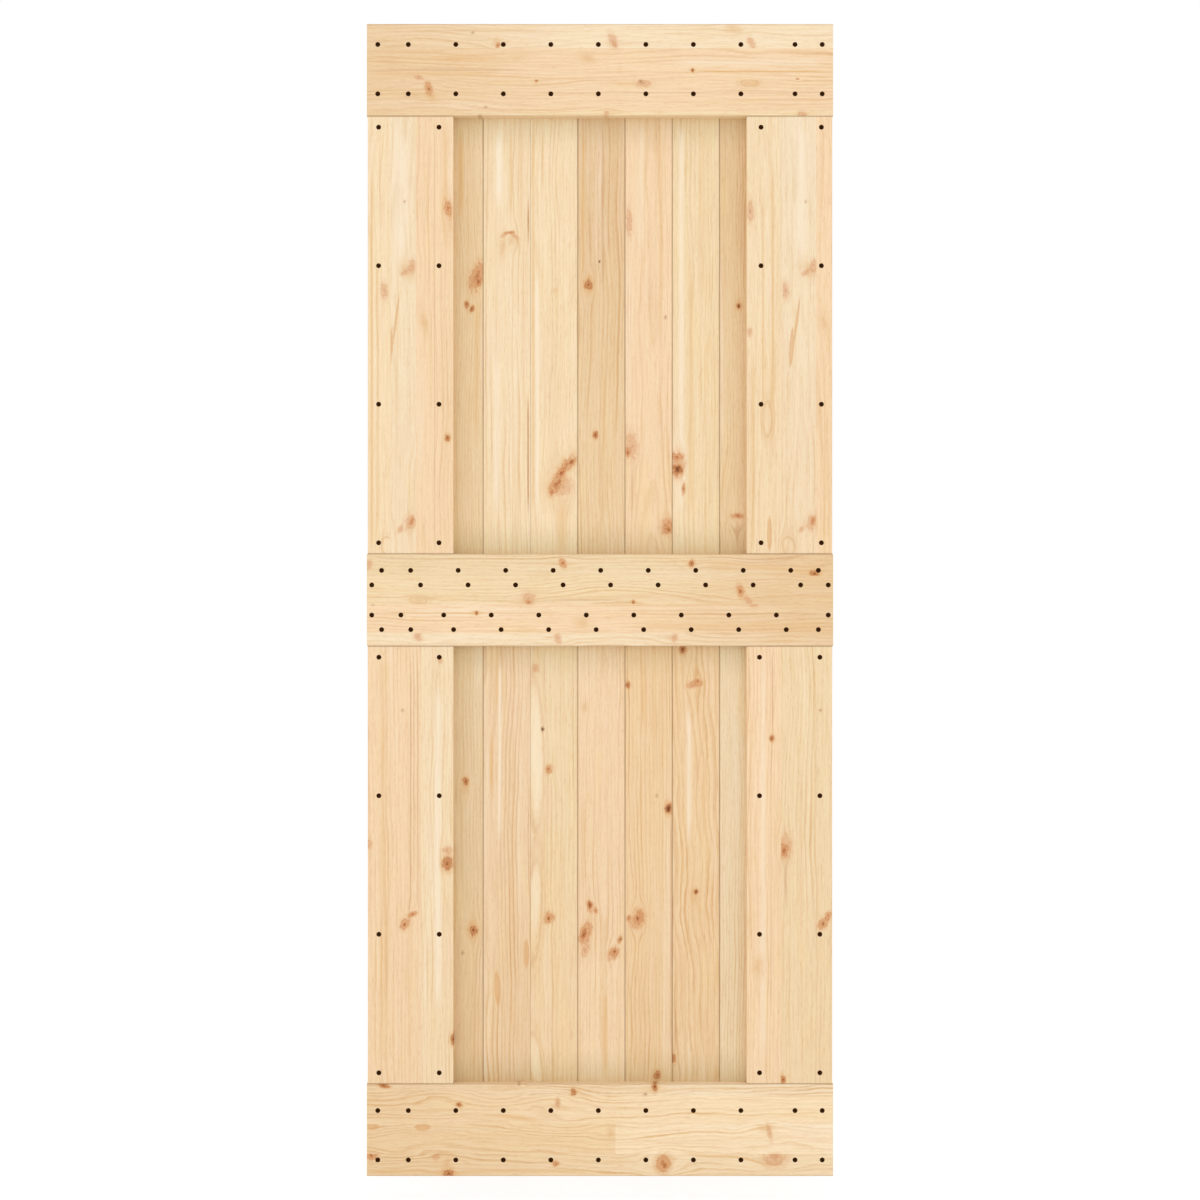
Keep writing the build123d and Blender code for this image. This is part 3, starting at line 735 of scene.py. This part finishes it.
class Pine:
    # The wood of one board: its places, noise and growth, as wires of its material's tree.
    def __init__(self, tree, wood):
        self.tree = tree
        self.wood = wood
        self.seed = wood["seed"] * pine["seedStep"]
        place = tree.node("ShaderNodeTexCoord", {}, {}, output=3)
        split = tree.node("ShaderNodeSeparateXYZ", {}, {0: place}).socket.node
        x, y, z = (Wire(tree, socket) for socket in split.outputs)
        self.right = (x - leaf["left"]) * leaf["scale"]
        self.down = (leaf["top"] - z) * leaf["scale"]
        self.depth = y * leaf["scale"]
        self.along, self.across = self.grainFirst(self.right, self.down)
        self.ragged = self.noise("ragged", self.across)
        self.bent = self.across
        self.glow = None
        self.knots = []
        bends = [(*bend, "bend") for bend in wood.get("bends", [])]
        for knot in sorted(wood["knots"] + bends, key=lambda knot: -knot[2]):
            self.addKnot(*knot)

    def grainFirst(self, right, down):
        return (right, down) if self.wood["grain"] == "right" else (down, right)

    def noise(self, name, sideways):
        sizes, shifts, detail = pineNoise[name]
        places = []
        for place, size, shift in zip((sideways, self.depth, self.along), sizes, shifts):
            scaled = place / size
            places.append(scaled + self.seed * shift if shift else scaled)
        return self.tree.noise(*places, detail=detail)

    def length(self, x, y):
        flat = self.tree.vector(x, y, 0.0)
        return self.tree.node("ShaderNodeVectorMath", {"operation": "LENGTH"}, {0: flat}, output=1)

    def byStrip(self, values):
        # A value for each glued strip, stepping at its edges.
        result = values[0]
        for (start, *rest), before, after in zip(self.wood["strips"][1:], values, values[1:]):
            result = (self.across > start) * (after - before) + result
        return result

    def addKnot(self, right, down, radius, kind, *shape):
        # A knot pushes the grain aside, further along it than across.
        stretch, tilt = shape or pine["knotShape"]
        along0, across0 = self.grainFirst(right, down)
        fromAlong = self.along - along0
        fromAcross = self.across - across0
        reachAlong, reachAcross = pine["bendReach"]
        spread = self.length(fromAlong / (radius * reachAlong), fromAcross / (radius * reachAcross))
        self.bent = self.bent - fromAcross * spread.rise(*pine["bendFade"]) * pine["bend"]
        if kind == "bend":
            return
        if kind in glowingKnots:
            glow = spread.rise(*pine["glowFade"])
            self.glow = glow + self.glow if self.glow else glow
        lengthways = fromAlong * math.cos(tilt) + fromAcross * math.sin(tilt)
        sideways = fromAcross * math.cos(tilt) - fromAlong * math.sin(tilt)
        size = self.length(lengthways / (radius * stretch), sideways / radius)
        size = (size + self.ragged * roughEdges.get(kind, roughEdges["knot"])) * 0.5
        reaches = radius * (stretch * abs(math.sin(tilt)) + abs(math.cos(tilt)))
        self.knots.append((kind, self.withinStrip(size, across0, reaches), radius))

    def withinStrip(self, size, across0, reaches):
        # A knot ends at the edges of its glued strip, where its size jumps past the last stop.
        starts = [strip[0] for strip in self.wood["strips"]]
        first = max(start for start in starts if start <= across0)
        last = min([start for start in starts if start > across0], default=None)
        if across0 - reaches < first:
            size = (first > self.across) * 2 + size
        if last is not None and across0 + reaches > last:
            size = (self.across > last) * 2 + size
        return size

    def growRings(self):
        # Growth rings: distance from a heart that wanders along the board.
        tree, wood, seed = self.tree, self.wood, self.seed
        self.sway = tree.noise(self.along / pine["swayLength"] + seed, seed, 0.0, detail=1.0)
        dip = tree.noise(self.along / pine["dipLength"] + seed, seed + pine["dipShift"], 0.0, detail=1.0)
        heartAcross = self.byStrip([strip[3] for strip in wood["strips"]])
        heartDepth = self.byStrip([strip[4] for strip in wood["strips"]])
        sideways = self.bent - heartAcross + self.sway * wood["wander"] * 2
        behind = heartDepth - self.depth + dip * wood["wander"] * 2
        distance = (sideways * sideways + behind * behind).root()
        distance = distance + self.noise("ripple", self.across) * pine["ripple"]
        distance = distance + self.noise("curl", self.across) * wood.get("curl", pine["curl"])
        spreadSize, spread = pine["ringSpread"]
        rings = distance / wood["ring"]
        rings = rings + tree.noise(distance / spreadSize, seed, 0.0) * spread
        stage = rings.fraction()
        late = stage.rise(*pine["ringDarkens"]) * stage.rise(*pine["ringEnds"])
        weightRings, weightLength = pine["weightSize"]
        weight = tree.noise(rings / weightRings, seed + pine["weightShift"], self.along / weightLength)
        weight = weight.rise(*pine["weightRange"])
        clear = self.noise("clear", self.bent).rise(*pine["clearRange"])
        weightGain, weightBase = pine["weight"]
        clearGain, clearBase = pine["clear"]
        return late * (weight * weightGain + weightBase) * (clear * clearGain + clearBase)

    def woodColour(self, late, fibre):
        # Tone of the strip, fades, patches, tints along the grain, rings, fibres, then streaks.
        tree, wood, along, across = self.tree, self.wood, self.along, self.across
        colour = shaded(*wood["strips"][0][1:3])
        for start, tone, shade, *heart in wood["strips"][1:]:
            colour = tree.mix(across > start, colour, shaded(tone, shade))
        for start, end, tone, strength in wood["fades"]:
            colour = tree.mix(along.rise(start, end) * strength, colour, tones[tone])
        for first, last, start, end, tone, shade in wood.get("patches", []):
            inside = ((across > start) - (across > end)) * ((along > first) - (along > last))
            colour = tree.mix(inside, colour, shaded(tone, shade))
        clouds = {name: self.noise(name, self.bent) for name in ("broad", "band", "hue")}
        for name, start, full, strength, tint in pineTints:
            colour = tree.mix(clouds[name].rise(start, full) * strength, colour, tint)
        fleck = self.noise("fleck", across)
        colour = tree.mix(late * wood["contrast"], colour, stains["ring"], "MULTIPLY")
        for grain, grown, strength in ((fibre, "fibreRange", "fibreShade"), (fleck, "fleckRange", "fleckShade")):
            colour = tree.mix(grain.rise(*pine[grown]) * pine[strength], colour, stains["ring"], "MULTIPLY")
        bySway, byRagged = pine["streakWander"]
        before, after = pine["streakEnds"]
        for across0, start, end, width, stain, strength in wood["streaks"]:
            side = abs(self.bent - across0 + self.sway * bySway + self.ragged * byRagged) / width
            length = along.rise(start - before, start + after) * along.rise(end + before, end - after)
            colour = tree.mix(side.rise(*pine["streakEdge"]) * length * strength, colour, stains[stain])
        return colour

    def addKnots(self, colour):
        tree = self.tree
        if self.glow:
            colour = tree.mix(self.glow * pine["glow"], colour, stains["amber"])
        marked = None
        for kind, size, radius in self.knots:
            tint = tree.node("ShaderNodeValToRGB", {"stops": knotKinds[kind]}, {0: size})
            cover = Wire(tree, tint.socket.node.outputs["Alpha"])
            colour = tree.mix(cover, colour, tint)
            if kind in hoopedKnots:
                hoops = (size * (radius * pine["hoops"])).fraction().rise(*pine["hoopEdge"])
                marked = cover * hoops + marked if marked else cover * hoops
        if marked:
            broken = marked * self.noise("speck", self.across).rise(*pine["hoopBreaks"])
            colour = tree.mix(broken * pine["hoopShade"], colour, stains["bark"], "MULTIPLY")
        return colour

    def addPaintedShadeAndJoints(self, colour):
        # Painted shade on the panel beside the frame, standing in for the shadow of the recess, and dark lines at
        # the joints.
        tree, wood = self.tree, self.wood
        front = self.depth < wood["face"] + pine["faceDepth"]
        # painted shade: darkens the panel's front face towards each edge of the bay
        for edge, side, strength in wood["corners"]:
            inwards = 1 if side in ("above", "left") else -1
            shade = ((self.down if side in ("above", "below") else self.right) - edge) * inwards
            near = shade.rise(pine["paintedShadeReach"], 0) * front
            colour = tree.mix(near * strength, colour, stains["corner"], "MULTIPLY")
        for axis, edge in wood["joints"]:
            line = abs((self.right if axis == "right" else self.down) - edge).rise(*pine["jointEdge"])
            colour = tree.mix(line * pine["jointShade"], colour, stains["joint"], "MULTIPLY")
        return colour


def pineMaterial(node, wood):
    material, tree, shader = newMaterial("pine_" + node)
    board = Pine(tree, wood)
    late = board.growRings()
    fibre = board.noise("fibre", board.across)
    colour = board.addPaintedShadeAndJoints(board.addKnots(board.woodColour(late, fibre)))
    byRing, byFibre = pine["bumpHeights"]
    bump = tree.node("ShaderNodeBump", {}, {**pine["bump"], "Height": late * byRing + fibre * byFibre})
    byRing, byFibre, plain = pine["roughness"]
    roughness = late * byRing + fibre * byFibre + plain
    tree.fill(shader, {"Base Color": colour, "Roughness": roughness, "Normal": bump, "IOR": pine["ior"]})
    return material


for name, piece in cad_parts.items():
    piece.data.materials.clear()
    piece.data.materials.append(pineMaterial(name, boardWood(name)))
print("wood done:", len(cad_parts), "materials")


# Black countersunk screws, one in every hole of the frame boards.
screw = {
    "headRadius": 0.0047,
    "shankRadius": 0.0020,
    "headHeight": 0.0018,
    "sink": 0.0001,          # below the board's face
    "recessLength": 0.0046,
    "recessWidth": 0.0011,
    "recessDepth": 0.0012,
    "seatDepth": 0.002,      # where the countersink meets its hole
    "rimReach": 0.005,       # points this near each other are on one rim
    "sides": 20,
    "seed": 5,
    "coat": (linear(48, 24, 4), linear(66, 36, 8)),
    "coatGrain": 900.0,
    "roughness": (0.2, 0.65),
    "ior": 1.15,
}


def screwPlaces():
    # Middles of the rings where countersinks meet their holes.
    places = []
    for node in frameBoards:
        rims = []
        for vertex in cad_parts[node].data.vertices:
            point = vertex.co
            if abs(point.y - screw["seatDepth"]) > leaf["close"]:
                continue
            near = [rim for rim in rims if (rim[0] - point).length < screw["rimReach"]]
            if near:
                near[0].append(point.copy())
            else:
                rims.append([point.copy()])
        for rim in rims:
            xs = [point.x for point in rim]
            zs = [point.z for point in rim]
            places.append(((min(xs) + max(xs)) / 2, 0.0, (min(zs) + max(zs)) / 2))
    return places


def screwMaterial():
    material, tree, shader = newMaterial("screw_black")
    place = tree.node("ShaderNodeTexCoord", {}, {}, output=3)
    sockets = {"Vector": place, "Scale": screw["coatGrain"], "Detail": 3.0}
    grain = tree.node("ShaderNodeTexNoise", {}, sockets)
    colour = tree.mix(grain, *screw["coat"])
    gain, plain = screw["roughness"]
    tree.fill(shader, {"Base Color": colour, "Roughness": grain * gain + plain, "IOR": screw["ior"]})
    return material


def screwTree():
    group = bpy.data.node_groups.new("screws_in_holes", "GeometryNodeTree")
    face = group.interface
    face.new_socket("Geometry", in_out="INPUT", socket_type="NodeSocketGeometry")
    for name in ("headRadius", "shankRadius", "headHeight", "sink", "recessLength", "recessWidth", "recessDepth"):
        face.new_socket(name, in_out="INPUT", socket_type="NodeSocketFloat")
    for name in ("sides", "seed"):
        face.new_socket(name, in_out="INPUT", socket_type="NodeSocketInt")
    face.new_socket("finish", in_out="INPUT", socket_type="NodeSocketMaterial")
    face.new_socket("Geometry", in_out="OUTPUT", socket_type="NodeSocketGeometry")
    tree = Tree(group)
    inputs = tree.node("NodeGroupInput", {}, {}).socket.node.outputs
    given = {socket.name: Wire(tree, socket) for socket in inputs if socket.name}

    head = tree.node("GeometryNodeMeshCone", {}, {
        "Vertices": given["sides"], "Radius Top": given["headRadius"], "Radius Bottom": given["shankRadius"],
        "Depth": given["headHeight"],
    })
    bars = []
    for length, width in (("recessLength", "recessWidth"), ("recessWidth", "recessLength")):
        size = tree.vector(given[length], given[width], given["recessDepth"] * 2)
        bars.append(tree.node("GeometryNodeMeshCube", {}, {"Size": size}))
    cross = tree.node("GeometryNodeMeshBoolean", {"operation": "UNION"}, {1: bars[0]})
    tree.fill(cross.socket.node, {1: bars[1]})
    lift = tree.vector(0.0, 0.0, given["headHeight"])
    cutter = tree.node("GeometryNodeTransform", {}, {0: cross, "Translation": lift})
    drive = tree.node("GeometryNodeMeshBoolean", {"operation": "DIFFERENCE"}, {0: head, 1: cutter})
    faces = tree.node("GeometryNodeInputMeshVertexNeighbors", {}, {}, output=1)     # cutting leaves stray points
    clean = tree.node("GeometryNodeDeleteGeometry", {"domain": "POINT"}, {0: drive, "Selection": faces < 0.5})
    seat = tree.vector(0.0, 0.0, 0 - given["headHeight"] - given["sink"])
    seated = tree.node("GeometryNodeTransform", {}, {0: clean, "Translation": seat})
    quarter = math.pi / 2
    turns = {2: 0.0, 3: quarter, "Seed": given["seed"]}
    turn = tree.node("FunctionNodeRandomValue", {"data_type": "FLOAT"}, turns, output=1)
    forward = (quarter, 0.0, 0.0)      # the head faces the front
    placed = tree.node("GeometryNodeInstanceOnPoints", {}, {
        "Points": given["Geometry"], "Instance": seated, "Rotation": forward,
    })
    turned = tree.node("GeometryNodeRotateInstances", {}, {0: placed, "Rotation": tree.vector(0.0, 0.0, turn)})
    real = tree.node("GeometryNodeRealizeInstances", {}, {0: turned})
    finished = tree.node("GeometryNodeSetMaterial", {}, {0: real, "Material": given["finish"]})
    tree.fill(group.nodes.new("NodeGroupOutput"), {0: finished})
    return group


def makeScrews():
    points = bpy.data.meshes.new("screw_places")
    points.from_pydata(screwPlaces(), [], [])
    maker = bpy.data.objects.new("screw_maker", points)
    bpy.context.scene.collection.objects.link(maker)
    modifier = maker.modifiers.new("screws", "NODES")
    modifier.node_group = screwTree()
    finish = screwMaterial()
    for item in modifier.node_group.interface.items_tree:
        if item.in_out == "INPUT" and item.name in screw:
            modifier[item.identifier] = screw[item.name]
        if item.in_out == "INPUT" and item.name == "finish":
            modifier[item.identifier] = finish
    graph = bpy.context.evaluated_depsgraph_get()
    mesh = bpy.data.meshes.new_from_object(maker.evaluated_get(graph))
    bpy.data.objects.remove(maker)
    screws = bpy.data.objects.new("frame_screws", mesh)
    bpy.context.scene.collection.objects.link(screws)
    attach(screws, "root")
    return len(points.vertices)


print("screws done:", makeScrews())


# Plain pale floor below the hanging leaf, and soft light from all around.
studio = {
    "floorGap": 0.04,        # the leaf hangs clear of the floor
    "floorSize": 40.0,
    "floorShade": 0.4,       # how much of the leaf's shadow shows on the floor
    "floorWhite": 1.18,      # brings the open floor back to white
    "floor": {"Base Color": (0.9, 0.9, 0.9, 1.0), "Roughness": 0.9, "IOR": 1.0},
    "white": (1.0, 1.0, 1.0, 1.0),
    "sky": 0.915,
    "lampPower": 12.0,
    "lampSize": 2.4,
    "lampPlaces": [(-2.2, -3.2, -0.5), (2.2, -3.2, -0.5)],
}


def makeFloor():
    half = studio["floorSize"] / 2
    level = leaf["bottom"] - studio["floorGap"]
    mesh = bpy.data.meshes.new("floor")
    corners = [(-half, -half, level), (half, -half, level), (half, half, level), (-half, half, level)]
    mesh.from_pydata(corners, [], [(0, 1, 2, 3)])
    floor = bpy.data.objects.new("floor", mesh)
    bpy.context.scene.collection.objects.link(floor)
    material, tree, shader = newMaterial("floor_white")
    tree.fill(shader, studio["floor"])
    sockets = {"Color": studio["white"], "Strength": studio["floorWhite"]}
    white = tree.node("ShaderNodeEmission", {}, sockets)
    shown = tree.seen() * (1 - studio["floorShade"])
    both = tree.node("ShaderNodeMixShader", {}, {0: shown, 1: Wire(tree, shader.outputs[0]), 2: white})
    tree.fill(tree.nodes["Material Output"], {"Surface": both})
    mesh.materials.append(material)


def makeSky():
    world = bpy.data.worlds.new("studio")
    world.use_nodes = True
    bpy.context.scene.world = world
    tree = Tree(world.node_tree)
    light = tree.node("ShaderNodeBackground", {}, {"Color": studio["white"], "Strength": studio["sky"]})
    backdrop = tree.node("ShaderNodeBackground", {}, {"Color": studio["white"], "Strength": 1.0})
    both = tree.node("ShaderNodeMixShader", {}, {0: tree.seen(), 1: light, 2: backdrop})
    tree.fill(tree.nodes["World Output"], {"Surface": both})


def makeLamps():
    aim = Vector((0.0, 0.0, leaf["middle"]))
    for number, place in enumerate(studio["lampPlaces"]):
        lamp = bpy.data.lights.new(f"soft_lamp_{number}", "AREA")
        lamp.energy = studio["lampPower"]
        lamp.size = studio["lampSize"]
        holder = bpy.data.objects.new(f"soft_lamp_{number}", lamp)
        holder.location = place
        holder.rotation_euler = (aim - Vector(place)).to_track_quat("-Z", "Y").to_euler()
        bpy.context.scene.collection.objects.link(holder)


# Camera straight in front of the leaf's middle.
shot = {
    "distance": 3.4,
    "width": 2.187,          # seen by the picture at the leaf's front face
    "sensor": 36.0,
}


def makeCamera():
    lens = bpy.data.cameras.new("photo_view")
    lens.sensor_width = shot["sensor"]
    lens.lens = shot["sensor"] * shot["distance"] / shot["width"]
    camera = bpy.data.objects.new("photo_view", lens)
    camera.location = (0.0, -shot["distance"], leaf["middle"])
    camera.rotation_euler = (math.pi / 2, 0.0, 0.0)
    bpy.context.scene.collection.objects.link(camera)
    bpy.context.scene.camera = camera


makeFloor()
makeSky()
makeLamps()
makeCamera()
bpy.context.scene.view_settings.view_transform = "Standard"
print("studio done")
